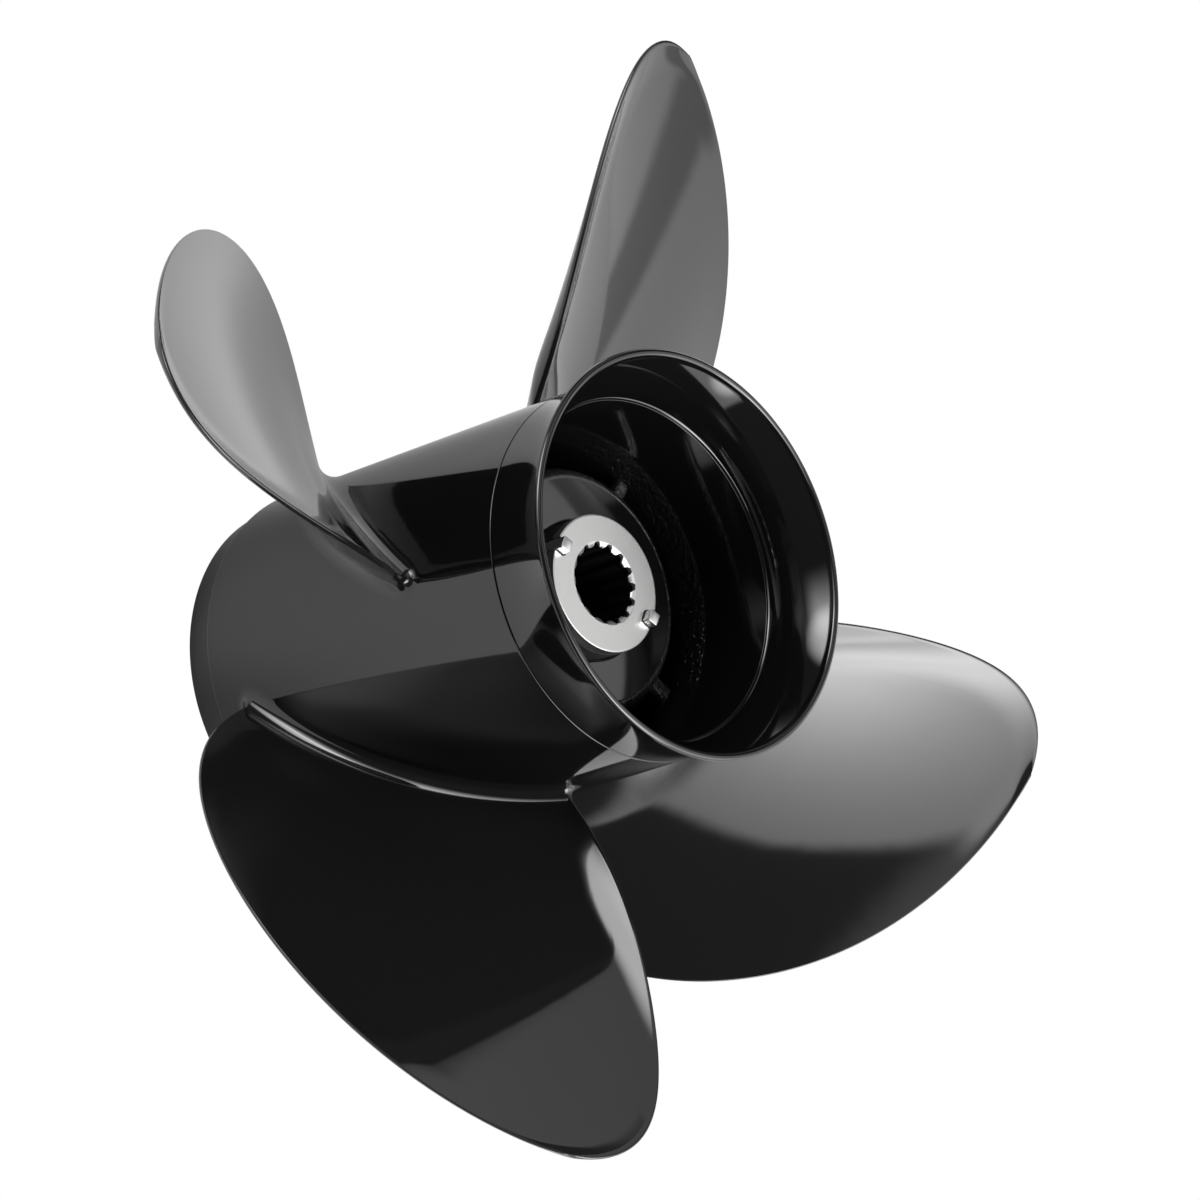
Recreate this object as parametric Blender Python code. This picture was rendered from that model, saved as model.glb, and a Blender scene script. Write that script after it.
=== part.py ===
"""Four-bladed outboard propeller with through-hub exhaust, 14 inch diameter by 19 inch pitch.

Metres. The shaft axis is Z, with +Z aft. The origin is on the axis in the plane of the fore rim,
so the propeller stands on its fore rim. Angles run anticlockwise as seen from aft.
"""

import math

import bmesh
import bpy

INCH = 0.0254
GAP = 0.0003

# Driving sizes of the propeller
DIAMETER = 14 * INCH
PITCH = 19 * INCH
BLADE_COUNT = 4
SPLINE_TEETH = 15

# Barrel, the outer exhaust tube
FORE_LAND_RADIUS = 0.0554
FORE_LAND_LENGTH = 0.0117
BODY_FORE_RADIUS = 0.0580
BODY_AFT_RADIUS = 0.0564
BODY_END = 0.1380
SPIGOT_RADIUS = 0.0540
SPIGOT_END = 0.1426
MACHINED_BORE_RADIUS = 0.0512
MACHINED_BORE_DEPTH = 0.1170
CAST_BORE_RADIUS = 0.0490
CAST_BORE_END = 0.1080
MOUTH_RADIUS = 0.0508
MOUTH_DEPTH = 0.0080
EDGE_BREAK = 0.0006

# Flared ring pressed on the spigot
RIM_RADIUS = 0.0614
RIM_END = 0.1633
FLARE_WALL = 0.0024
FLARE_POWER = 2.2
FLARE_STEPS = 6

# Inner hub and the ribs that carry it
HUB_RADIUS = 0.0390
HUB_FORE_END = 0.0120
HUB_AFT_FACE = 0.1180
HUB_FACE_RADIUS = 0.0343
HUB_SHOULDER = 0.0090
HUB_BORE_RADIUS = 0.0293
HUB_BORE_END = 0.1080
HUB_NECK_RADIUS = 0.0213
RIB_THICKNESS = 0.0062
RIB_FORE_END = 0.0180
RIB_AFT_END = 0.1115
RIB_FLAT_RADIUS = 0.0465
RIB_ANGLE = math.radians(13.8)

# Bush, sleeve and washer in the inner hub
BUSH_INSET = 0.0030
SLEEVE_RADIUS = 0.0182
SLEEVE_FORE_END = 0.0080
SLEEVE_AFT_END = 0.1229
SPLINE_TIP_RADIUS = 0.0112
SPLINE_ROOT_RADIUS = 0.0125
SPLINE_TIP_SHARE = 0.19
SPLINE_ROOT_SHARE = 0.35
SPLINE_ANGLE = math.radians(14.5)
SPLINE_LEAD_IN = 0.0009
WASHER_RADIUS = 0.0210
WASHER_AFT_FACE = 0.1263
LUG_WIDTH = 0.0033
LUG_SEAT_RADIUS = 0.0177
LUG_FORE_END = 0.1120
LUG_AFT_END = 0.1286
LUG_ANGLE = math.radians(20.3)
NOTCH_CLEARANCE = 0.0009
NOTCH_OVERCUT = 0.0030

# Blade outline, laid out on cylinders round the shaft
ROOT_RADIUS = 0.0580
TIP_RADIUS = DIAMETER / 2
HELIX_RISE = PITCH / (2 * math.pi)
ROOT_MID_ANGLE = math.radians(13.5)
SKEW_STEADY = math.radians(7.6)
SKEW_SWEPT = math.radians(13.6)
ROOT_HALF_ANGLE = math.radians(35.0)
OUTLINE_POWER = 1.8
OUTLINE_ROUNDING = 0.61
RAKE_SLOPE = 0.382
RAKE_START = 0.0462
ROOT_PITCH_LOSS = 0.20
PITCH_LOSS_POWER = 4

# Blade section
ROOT_THICKNESS = 0.0085
TIP_THICKNESS = 0.0030
LEADING_EDGE_THICKNESS = 0.0014
TRAILING_EDGE_THICKNESS = 0.0018
BACK_ROUNDING = 0.9
CUP_HEIGHT = 0.0010
CUP_WIDTH = 0.0110
CUP_FULL_CHORD = 0.0500
FILLET_RADIUS = 0.0055
FILLET_END_POWER = 20

# Mesh steps
TURNED_STEPS = 64
SMALL_STEPS = 48
FILLET_STEPS = 3
SPAN_STEPS = 14
SPAN_CROWDING = 1.8
LAST_STATION = 0.999
CHORD_STEPS = 16
ROOT_CAP_COLUMNS = 5


def clear_scene():
    for obj in list(bpy.data.objects):
        bpy.data.objects.remove(obj, do_unlink=True)


def make_material(name, color, roughness, metallic):
    material = bpy.data.materials.new(name)
    material.use_nodes = True
    shader = material.node_tree.nodes["Principled BSDF"]
    shader.inputs["Base Color"].default_value = (*color, 1.0)
    shader.inputs["Roughness"].default_value = roughness
    shader.inputs["Metallic"].default_value = metallic
    return material


def add_object(name, bm, material, smooth_angle=35):
    bmesh.ops.recalc_face_normals(bm, faces=bm.faces[:])
    mesh = bpy.data.meshes.new(name)
    bm.to_mesh(mesh)
    bm.free()
    mesh.materials.append(material)
    mesh.shade_smooth()
    mesh.set_sharp_from_angle(angle=math.radians(smooth_angle))
    obj = bpy.data.objects.new(name, mesh)
    bpy.context.scene.collection.objects.link(obj)
    return obj


def turned(name, profile, material, steps=TURNED_STEPS):
    """A solid of revolution about Z from a closed profile of (radius, height) points."""
    bm = bmesh.new()
    verts = [bm.verts.new((radius, 0.0, height)) for radius, height in profile]
    edges = [bm.edges.new((a, b)) for a, b in zip(verts, verts[1:] + verts[:1])]
    bmesh.ops.spin(
        bm,
        geom=verts + edges,
        cent=(0, 0, 0),
        axis=(0, 0, 1),
        angle=2 * math.pi,
        steps=steps,
        use_merge=True,
    )
    bmesh.ops.remove_doubles(bm, verts=bm.verts[:], dist=1e-6)
    return add_object(name, bm, material)


def cartesian(radius, angle, height):
    return (radius * math.cos(angle), radius * math.sin(angle), height)


def arc(centre, radius, start, end, steps):
    """Points of (radius, height) along an arc, with angles in degrees from the outward direction."""
    points = []
    for i in range(steps + 1):
        angle = math.radians(start + (end - start) * i / steps)
        points.append((centre[0] + radius * math.cos(angle), centre[1] + radius * math.sin(angle)))
    return points


def body_radius(height):
    """Radius of the barrel's drafted outside at a height."""
    share = (height - FORE_LAND_LENGTH) / (BODY_END - FORE_LAND_LENGTH)
    return BODY_FORE_RADIUS + (BODY_AFT_RADIUS - BODY_FORE_RADIUS) * share


def build_barrel(material):
    profile = [
        (MOUTH_RADIUS, 0.0),
        (FORE_LAND_RADIUS - EDGE_BREAK, 0.0),
        (FORE_LAND_RADIUS, EDGE_BREAK),
        (FORE_LAND_RADIUS, FORE_LAND_LENGTH),
        (BODY_FORE_RADIUS - EDGE_BREAK, FORE_LAND_LENGTH),
        (BODY_FORE_RADIUS, FORE_LAND_LENGTH + EDGE_BREAK),
        (BODY_AFT_RADIUS, BODY_END),
        (SPIGOT_RADIUS, BODY_END),
        (SPIGOT_RADIUS, SPIGOT_END),
        (MACHINED_BORE_RADIUS, SPIGOT_END),
        (MACHINED_BORE_RADIUS, MACHINED_BORE_DEPTH),
        (CAST_BORE_RADIUS, CAST_BORE_END),
        (CAST_BORE_RADIUS, MOUTH_DEPTH),
    ]
    return turned("barrel", profile, material)


def flare_radius(height):
    """Outside radius of the flared ring, which opens ever faster towards the rim."""
    share = (height - BODY_END) / (RIM_END - BODY_END)
    return BODY_AFT_RADIUS + (RIM_RADIUS - BODY_AFT_RADIUS) * share**FLARE_POWER


def build_flared_ring(material):
    lip = FLARE_WALL / 2
    lip_centre = (RIM_RADIUS - lip, RIM_END - lip)
    low = BODY_END + GAP
    heights = [low + (lip_centre[1] - low) * i / FLARE_STEPS for i in range(FLARE_STEPS)]
    outside = [(flare_radius(z), z) for z in heights]
    inside = [(flare_radius(z) - FLARE_WALL, z) for z in heights if z > SPIGOT_END + GAP]
    socket = SPIGOT_RADIUS + GAP
    seat = [(MACHINED_BORE_RADIUS, SPIGOT_END + GAP), (socket, SPIGOT_END + GAP), (socket, low)]
    profile = outside + arc(lip_centre, lip, 0, 180, 4) + inside[::-1] + seat
    return turned("flared_ring", profile, material)


def build_inner_hub(material):
    """The inner tube, with a rounded shoulder from its flat aft face and a neck round the bush's end."""
    depth = HUB_RADIUS - HUB_FACE_RADIUS
    shoulder = []
    for i in range(4):
        turn = math.radians(30 * i)
        drop = HUB_SHOULDER * (1 - math.sin(turn))
        shoulder.append((HUB_FACE_RADIUS + depth * math.cos(turn), HUB_AFT_FACE - drop))
    profile = [
        (HUB_BORE_RADIUS, HUB_FORE_END),
        (HUB_RADIUS, HUB_FORE_END),
        *shoulder,
        (HUB_NECK_RADIUS, HUB_AFT_FACE),
        (HUB_NECK_RADIUS, HUB_BORE_END),
        (HUB_BORE_RADIUS, HUB_BORE_END),
    ]
    return turned("inner_hub", profile, material, SMALL_STEPS)


def build_rib(number, material):
    """A web from the inner hub to the barrel, cut flat at its aft end."""
    inner = HUB_RADIUS + GAP
    outer = CAST_BORE_RADIUS - 2 * GAP
    side = [
        (inner, RIB_FORE_END),
        (outer, RIB_FORE_END),
        (outer, CAST_BORE_END),
        (RIB_FLAT_RADIUS, RIB_AFT_END),
        (inner, RIB_AFT_END),
    ]
    bm = bmesh.new()
    near = [bm.verts.new((radius, -RIB_THICKNESS / 2, height)) for radius, height in side]
    face = bm.faces.new(near)
    far = bmesh.ops.extrude_face_region(bm, geom=[face])
    moved = [v for v in far["geom"] if isinstance(v, bmesh.types.BMVert)]
    bmesh.ops.translate(bm, verts=moved, vec=(0, RIB_THICKNESS, 0))
    rib = add_object(f"rib_{number}", bm, material)
    rib.rotation_euler.z = RIB_ANGLE + number * 2 * math.pi / BLADE_COUNT
    return rib


def spline_outline():
    """Inner points of the splined bore, with four points for each tooth."""
    points = []
    tooth = 2 * math.pi / SPLINE_TEETH
    for i in range(SPLINE_TEETH):
        for share, radius in (
            (-SPLINE_ROOT_SHARE, SPLINE_ROOT_RADIUS),
            (-SPLINE_TIP_SHARE, SPLINE_TIP_RADIUS),
            (SPLINE_TIP_SHARE, SPLINE_TIP_RADIUS),
            (SPLINE_ROOT_SHARE, SPLINE_ROOT_RADIUS),
        ):
            angle = SPLINE_ANGLE + tooth * (i + share)
            points.append((radius * math.cos(angle), radius * math.sin(angle)))
    return points


def splined_tube(name, outer_radius, low, high, lead_in, material):
    """A round tube with the toothed bore. lead_in is how far the teeth slope back from the aft face."""
    bm = bmesh.new()
    inner = spline_outline()
    bore_low = []
    rim_low = []
    bore_high = []
    ring_high = []
    rim_high = []
    for x, y in inner:
        angle = math.atan2(y, x)
        in_tooth = math.hypot(x, y) < (SPLINE_TIP_RADIUS + SPLINE_ROOT_RADIUS) / 2
        bore_low.append(bm.verts.new((x, y, low)))
        rim_low.append(bm.verts.new(cartesian(outer_radius, angle, low)))
        bore_high.append(bm.verts.new((x, y, high - lead_in * in_tooth)))
        rim_high.append(bm.verts.new(cartesian(outer_radius, angle, high)))
        root = bm.verts.new(cartesian(SPLINE_ROOT_RADIUS, angle, high)) if in_tooth else bore_high[-1]
        ring_high.append(root)
    count = len(inner)
    for i in range(count):
        j = (i + 1) % count
        bm.faces.new((bore_low[i], bore_low[j], bore_high[j], bore_high[i]))
        bm.faces.new((rim_low[i], rim_low[j], rim_high[j], rim_high[i]))
        bm.faces.new((bore_low[i], bore_low[j], rim_low[j], rim_low[i]))
        bm.faces.new((ring_high[i], ring_high[j], rim_high[j], rim_high[i]))
        end = dict.fromkeys((bore_high[i], bore_high[j], ring_high[j], ring_high[i]))
        if len(end) > 2:
            bm.faces.new(tuple(end))
    return add_object(name, bm, material)


def cut_block(name, side, inner, outer, width, low, high, material):
    """A hidden block at one of the two lug places, for a Boolean modifier."""
    bm = bmesh.new()
    bmesh.ops.create_cube(bm, size=1.0)
    bmesh.ops.scale(bm, verts=bm.verts[:], vec=(outer - inner, width, high - low))
    bmesh.ops.translate(bm, verts=bm.verts[:], vec=((inner + outer) / 2, 0, (low + high) / 2))
    block = add_object(name, bm, material)
    block.rotation_euler.z = LUG_ANGLE + side * math.pi
    block.hide_render = True
    block.display_type = "WIRE"
    return block


def add_boolean(obj, operation, other):
    modifier = obj.modifiers.new(f"{operation.lower()} {other.name}", "BOOLEAN")
    modifier.operation = operation
    modifier.object = other


def build_hub_kit(rubber, alloy):
    """The rubber bush in the inner hub, the splined sleeve in the bush and the notched washer on both."""
    bush_profile = [
        (SLEEVE_RADIUS + GAP, HUB_FORE_END + BUSH_INSET),
        (HUB_BORE_RADIUS - GAP, HUB_FORE_END + BUSH_INSET),
        (HUB_BORE_RADIUS - GAP, HUB_BORE_END - GAP),
        (HUB_NECK_RADIUS - GAP, HUB_BORE_END - GAP),
        (HUB_NECK_RADIUS - GAP, SLEEVE_AFT_END),
        (SLEEVE_RADIUS + GAP, SLEEVE_AFT_END),
    ]
    bush = turned("rubber_bush", bush_profile, rubber, SMALL_STEPS)
    sleeve = splined_tube("drive_sleeve", SLEEVE_RADIUS, SLEEVE_FORE_END, SLEEVE_AFT_END, 0.0, alloy)
    washer_low = SLEEVE_AFT_END + GAP
    washer = splined_tube("notched_washer", WASHER_RADIUS, washer_low, WASHER_AFT_FACE, SPLINE_LEAD_IN, alloy)
    for side in (0, 1):
        lug = cut_block(
            f"lug_{side}",
            side,
            LUG_SEAT_RADIUS,
            WASHER_RADIUS,
            LUG_WIDTH,
            LUG_FORE_END,
            LUG_AFT_END,
            alloy,
        )
        notch = cut_block(
            f"notch_{side}",
            side,
            LUG_SEAT_RADIUS - NOTCH_CLEARANCE,
            WASHER_RADIUS + NOTCH_OVERCUT,
            LUG_WIDTH + 2 * NOTCH_CLEARANCE,
            LUG_FORE_END - NOTCH_CLEARANCE,
            LUG_AFT_END + NOTCH_CLEARANCE,
            alloy,
        )
        add_boolean(sleeve, "UNION", lug)
        add_boolean(bush, "DIFFERENCE", notch)
        add_boolean(washer, "DIFFERENCE", notch)


def span_share(radius):
    """0 at the blade's root and 1 at its tip."""
    return max(0.0, (radius - ROOT_RADIUS) / (TIP_RADIUS - ROOT_RADIUS))


def half_angle(radius):
    """Half of the angle that the blade covers at a radius."""
    return ROOT_HALF_ANGLE * max(0.0, 1 - span_share(radius) ** OUTLINE_POWER) ** OUTLINE_ROUNDING


def local_rise(radius):
    """Advance of the driving face along the shaft for each radian, a little less near the root."""
    return HELIX_RISE * (1 - ROOT_PITCH_LOSS * (1 - span_share(radius)) ** PITCH_LOSS_POWER)


def blade_point(radius, along, across, stretch=0.0):
    """Angle and height of a point of the blade on the cylinder of a radius.

    along runs from -1 at the leading edge to 1 at the trailing edge. across is the distance from the
    helicoid, square to it and towards aft. stretch lengthens the section at both ends.
    """
    share = span_share(radius)
    rise = local_rise(radius)
    mid = ROOT_MID_ANGLE + SKEW_STEADY * share + SKEW_SWEPT * share**3
    turn = along * (half_angle(radius) + stretch / math.hypot(radius, rise))
    slope = math.atan2(rise, radius)
    height = RAKE_START + RAKE_SLOPE * (radius - ROOT_RADIUS) + HELIX_RISE * mid
    return mid + turn - across * math.sin(slope) / radius, height + rise * turn + across * math.cos(slope)


def chord_length(radius):
    return 2 * half_angle(radius) * math.hypot(radius, local_rise(radius))


def section_thickness(radius, along):
    """Thickness from the driving face to the back, blunt at the trailing edge."""
    middle = ROOT_THICKNESS + (TIP_THICKNESS - ROOT_THICKNESS) * span_share(radius)
    trailing_share = (along + 1) / 2
    edge = LEADING_EDGE_THICKNESS + (TRAILING_EDGE_THICKNESS - LEADING_EDGE_THICKNESS) * trailing_share
    return edge + (middle - edge) * (1 - along * along) ** BACK_ROUNDING


def cup(radius, along):
    """Height of the small cup that turns the driving face aft at the trailing edge."""
    chord = chord_length(radius)
    from_edge = (1 - along) / 2 * chord
    return CUP_HEIGHT * max(0.0, 1 - from_edge / CUP_WIDTH) ** 2 * min(1.0, chord / CUP_FULL_CHORD)


def fillet_growth(above):
    """How far a section grows all round at a distance above the barrel, for the root's rounded corner."""
    reach = max(0.0, FILLET_RADIUS - above)
    return FILLET_RADIUS - math.sqrt(FILLET_RADIUS**2 - reach**2)


def on_barrel(angle_and_height):
    """The radius just clear of the barrel at a point's height."""
    return body_radius(angle_and_height[1]) + GAP


def section_point(above, along, back):
    """Radius, angle and height of a point at a distance above the barrel, on the face or on the back."""
    grown = fillet_growth(above)
    side_growth = grown * math.sqrt(1 - abs(along) ** FILLET_END_POWER)

    def across(radius):
        if back:
            return cup(radius, along) - section_thickness(radius, along) - side_growth
        return cup(radius, along) + side_growth

    root = on_barrel(blade_point(ROOT_RADIUS, along, across(ROOT_RADIUS), grown))
    radius = root + above * (LAST_STATION * TIP_RADIUS - root) / (LAST_STATION * TIP_RADIUS - ROOT_RADIUS)
    return (radius, *blade_point(radius, along, across(radius), grown))


def span_stations():
    """Distances of the sections above the barrel, close together in the fillet and at the tip."""
    in_fillet = [FILLET_RADIUS * (1 - math.cos(math.pi / 2 * i / FILLET_STEPS)) for i in range(FILLET_STEPS)]
    span = LAST_STATION * TIP_RADIUS - ROOT_RADIUS
    above_fillet = []
    for i in range(SPAN_STEPS + 1):
        share = 1 - (1 - i / SPAN_STEPS) ** SPAN_CROWDING
        above_fillet.append(FILLET_RADIUS + (span - FILLET_RADIUS) * share)
    return in_fillet + above_fillet


def root_cap_column(face, back):
    """Points on the barrel's cylinder from a point of the face to the opposite one of the back."""
    column = []
    for i in range(1, ROOT_CAP_COLUMNS):
        share = i / ROOT_CAP_COLUMNS
        angle = face[1] + (back[1] - face[1]) * share
        height = face[2] + (back[2] - face[2]) * share
        column.append(cartesian(on_barrel((angle, height)), angle, height))
    return column


def build_blade(number, material):
    bm = bmesh.new()
    alongs = [-math.cos(math.pi * i / CHORD_STEPS) for i in range(CHORD_STEPS + 1)]
    faces = []
    backs = []
    for above in span_stations():
        faces.append([bm.verts.new(cartesian(*section_point(above, a, False))) for a in alongs])
        backs.append([bm.verts.new(cartesian(*section_point(above, a, True))) for a in alongs])
    for rows in (faces, backs):
        for low, high in zip(rows, rows[1:]):
            for i in range(CHORD_STEPS):
                bm.faces.new((low[i], low[i + 1], high[i + 1], high[i]))
    for end in (0, CHORD_STEPS):
        for i in range(len(faces) - 1):
            bm.faces.new((faces[i][end], faces[i + 1][end], backs[i + 1][end], backs[i][end]))
    for i in range(CHORD_STEPS):
        bm.faces.new((faces[-1][i], faces[-1][i + 1], backs[-1][i + 1], backs[-1][i]))
    columns = []
    for i, along in enumerate(alongs):
        inner = []
        if 0 < i < CHORD_STEPS:
            ends = (section_point(0.0, along, False), section_point(0.0, along, True))
            inner = [bm.verts.new(point) for point in root_cap_column(*ends)]
        columns.append([faces[0][i], *inner, backs[0][i]])
    for left, right in zip(columns, columns[1:]):
        if len(left) != len(right):
            bm.faces.new(left + right[::-1])
            continue
        for i in range(ROOT_CAP_COLUMNS):
            bm.faces.new((left[i], left[i + 1], right[i + 1], right[i]))
    blade = add_object(f"blade_{number}", bm, material, 40)
    blade.rotation_euler.z = number * 2 * math.pi / BLADE_COUNT
    return blade


def build_propeller():
    black = make_material("gloss_black_paint", (0.012, 0.012, 0.013), 0.12, 0.0)
    rough_black = make_material("cast_black_paint", (0.010, 0.010, 0.011), 0.45, 0.0)
    rubber = make_material("black_rubber", (0.018, 0.018, 0.018), 0.7, 0.0)
    alloy = make_material("bare_alloy", (0.62, 0.62, 0.62), 0.35, 1.0)
    build_barrel(black)
    build_flared_ring(black)
    build_inner_hub(rough_black)
    for number in range(1, BLADE_COUNT + 1):
        build_rib(number, rough_black)
        build_blade(number, black)
    build_hub_kit(rubber, alloy)


clear_scene()
build_propeller()
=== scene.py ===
"""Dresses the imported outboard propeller: smooth turned and lofted pieces, finishes and a studio.

Metres, with the shaft axis on Z, aft upwards and the fore rim at Z = 0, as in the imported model.
"""

import math

import bmesh
import bpy
from mathutils import Matrix, Vector


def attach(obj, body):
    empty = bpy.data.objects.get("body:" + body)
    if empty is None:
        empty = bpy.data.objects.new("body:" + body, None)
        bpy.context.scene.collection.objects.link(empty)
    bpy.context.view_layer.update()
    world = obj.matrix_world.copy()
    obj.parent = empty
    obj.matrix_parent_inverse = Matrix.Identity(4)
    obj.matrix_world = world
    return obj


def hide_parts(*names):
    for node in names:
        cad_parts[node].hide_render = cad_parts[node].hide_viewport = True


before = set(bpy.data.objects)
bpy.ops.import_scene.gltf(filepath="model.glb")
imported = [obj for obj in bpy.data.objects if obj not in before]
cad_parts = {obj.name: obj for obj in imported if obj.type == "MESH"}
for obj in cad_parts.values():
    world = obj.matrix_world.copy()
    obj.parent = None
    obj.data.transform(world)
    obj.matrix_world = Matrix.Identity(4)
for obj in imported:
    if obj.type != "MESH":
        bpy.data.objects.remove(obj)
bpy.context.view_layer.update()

bl_info = {
    "name": "Outboard Propeller",
    "version": (1, 0, 0),
    "blender": (4, 5, 0),
    "location": "3D View > Sidebar > Propeller",
    "description": "Adds the pieces of a four-bladed outboard propeller and its studio",
    "category": "Mesh",
}

BLADES = 4
GAP = 0.0003
TURN = 2 * math.pi


class PropellerShape(bpy.types.PropertyGroup):
    """Sizes of the propeller that a user may change."""

    tip_radius: bpy.props.FloatProperty(
        name="Tip radius", description="Half of the diameter", default=0.1778, unit="LENGTH"
    )
    pitch: bpy.props.FloatProperty(
        name="Pitch", description="Advance of the blades in one turn", default=0.4826, unit="LENGTH"
    )
    fillet_radius: bpy.props.FloatProperty(
        name="Root fillet",
        description="Corner between a blade and the barrel",
        default=0.0055,
        unit="LENGTH",
    )
    turned_steps: bpy.props.IntProperty(
        name="Turned steps", description="Faces round each turned piece", default=256, min=32
    )


class PropellerFinish(bpy.types.PropertyGroup):
    """Colours of the finishes."""

    paint: bpy.props.FloatVectorProperty(
        name="Paint", description="Gloss paint", default=(0.005, 0.005, 0.0052), subtype="COLOR"
    )
    # Painted shade: the blades' gloss paint made darker, standing in for the shade on the barrel, hub and
    # ring.
    deep_paint: bpy.props.FloatVectorProperty(
        name="Deep paint",
        description="Gloss paint on the barrel, hub and ring",
        default=(0.0025, 0.0025, 0.0026),
        subtype="COLOR",
    )
    paint_roughness: bpy.props.FloatProperty(
        name="Paint roughness", description="Roughness of the gloss paint", default=0.045, subtype="FACTOR"
    )
    alloy: bpy.props.FloatVectorProperty(
        name="Alloy",
        description="Bare metal of the washer and the sleeve",
        default=(0.56, 0.56, 0.555),
        subtype="COLOR",
    )


class StudioSettings(bpy.types.PropertyGroup):
    """The light and the floor round the propeller."""

    floor_size: bpy.props.FloatProperty(
        name="Floor size", description="Side of the floor", default=16.0, unit="LENGTH"
    )
    floor_shade: bpy.props.FloatProperty(
        name="Floor shade", description="Lightness of the floor", default=0.58, subtype="FACTOR"
    )
    backdrop: bpy.props.FloatProperty(
        name="Backdrop", description="Brightness of the backdrop that the camera sees", default=1.0
    )
    room: bpy.props.FloatProperty(
        name="Room", description="Brightness of the dark room", default=0.1
    )
    key_light: bpy.props.FloatProperty(
        name="Key light", description="Strength of the light behind the scrim", default=14.0
    )
    side_light: bpy.props.FloatProperty(
        name="Side light", description="Strength of the two lights at the left", default=9.0
    )
    back_panel: bpy.props.FloatProperty(
        name="Back panel", description="Brightness of the white panel at the back", default=0.85
    )


# Modelling helpers

DOUBLES = 2e-6
NEARLY_STRAIGHT = math.radians(89.5)
SHORT_STRAIGHT = 0.0012
LONG_STRAIGHT = 0.008
STRAIGHT_MARGIN = 0.0004


def deselect_all():
    for obj in bpy.context.selected_objects:
        obj.select_set(False)


def make_active(obj):
    deselect_all()
    obj.select_set(True)
    bpy.context.view_layer.objects.active = obj


def edit(obj, mode="VERT"):
    """Opens a piece in edit mode with all of it selected."""
    make_active(obj)
    bpy.ops.object.mode_set(mode="EDIT")
    bpy.ops.mesh.select_mode(type=mode)
    bpy.ops.mesh.select_all(action="SELECT")


def leave_edit():
    bpy.ops.object.mode_set(mode="OBJECT")


def ring(name, count):
    """A circle of edges to draw a profile or a section with."""
    deselect_all()
    bpy.ops.mesh.primitive_circle_add(vertices=count, radius=1.0, fill_type="NOTHING")
    obj = bpy.context.active_object
    obj.name = name
    obj.data.name = name
    return obj


def close_and_smooth(obj, angle):
    """Merges the doubles, turns the faces outwards and shades the piece smooth but for its sharp edges."""
    edit(obj)
    bpy.ops.mesh.remove_doubles(threshold=DOUBLES)
    bpy.ops.mesh.select_all(action="SELECT")
    bpy.ops.mesh.normals_make_consistent(inside=False)
    leave_edit()
    bpy.ops.object.shade_smooth_by_angle(angle=math.radians(angle))


def corner(radius, height, rounding=0.0):
    """A corner of a turned profile, with the radius that breaks it."""
    return (radius, height, rounding)


def corner_arc(here, last, following, rounding, steps):
    """Points of the arc that breaks a corner, or the corner itself where there is none."""
    before = (last - here).normalized()
    after = (following - here).normalized()
    half = before.angle(after) / 2
    if rounding == 0.0 or half > NEARLY_STRAIGHT:
        return [here]
    centre = here + (before + after).normalized() * (rounding / math.sin(half))
    start = here + before * (rounding / math.tan(half))
    end = here + after * (rounding / math.tan(half))
    sweep = (start - centre).angle_signed(end - centre)
    arc = []
    for k in range(steps + 1):
        spoke = start - centre
        spoke.rotate(Matrix.Rotation(-sweep * k / steps, 2))
        arc.append(centre + spoke)
    return arc


def cut_straight(start, end):
    """Points along a straight: one close to each of its ends, and the rest evenly between those."""
    run = end - start
    length = run.length
    if length < SHORT_STRAIGHT:
        return []
    margin = min(STRAIGHT_MARGIN, length / 4)
    steps = max(1, math.ceil((length - 2 * margin) / LONG_STRAIGHT))
    shares = [(margin + (length - 2 * margin) * k / steps) / length for k in range(steps + 1)]
    return [start + run * share for share in shares]


def rounded(corners, arc_steps=5):
    """A closed profile of (radius, height) points from its corners, with arcs and evenly cut straights."""
    places = [Vector((radius, height)) for radius, height, _ in corners]
    arcs = []
    for i, here in enumerate(places):
        following = places[(i + 1) % len(places)]
        arcs.append(corner_arc(here, places[i - 1], following, corners[i][2], arc_steps))
    points = []
    for arc, next_arc in zip(arcs, arcs[1:] + arcs[:1]):
        points += arc + cut_straight(arc[-1], next_arc[0])
    return [(point.x, point.y) for point in points]


def turned(name, profile, steps, smooth_angle=50):
    """Draws a closed profile of (radius, height) points and spins it round the shaft axis."""
    obj = ring(name, len(profile))
    for vertex, (radius, height) in zip(obj.data.vertices, profile):
        vertex.co = (radius, 0.0, height)
    edit(obj)
    bpy.ops.mesh.spin(steps=steps, angle=TURN, center=(0, 0, 0), axis=(0, 0, 1), dupli=False)
    leave_edit()
    close_and_smooth(obj, smooth_angle)
    return obj


def fill_ends(obj):
    """Fills the open rings at both ends of a tube."""
    edit(obj, "EDGE")
    bpy.ops.mesh.select_all(action="DESELECT")
    bpy.ops.mesh.select_non_manifold(
        use_wire=False, use_multi_face=False, use_non_contiguous=False, use_verts=False
    )
    bpy.ops.mesh.edge_face_add()
    leave_edit()


def lofted(name, sections, smooth_angle, filled=False):
    """Extrudes a tube ring by ring and moves each ring to its section, a list of points in order."""
    around = len(sections[0])
    obj = ring(name, around)
    edit(obj, "EDGE")
    for _ in sections[1:]:
        bpy.ops.mesh.extrude_edges_move(TRANSFORM_OT_translate={"value": (0, 0, 1)})
    leave_edit()
    for vertex in obj.data.vertices:
        level = round(vertex.co.z)
        place = round(math.atan2(vertex.co.y, vertex.co.x) / TURN * around) % around
        vertex.co = sections[level][place]
    if filled:
        fill_ends(obj)
    close_and_smooth(obj, smooth_angle)
    return obj


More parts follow.
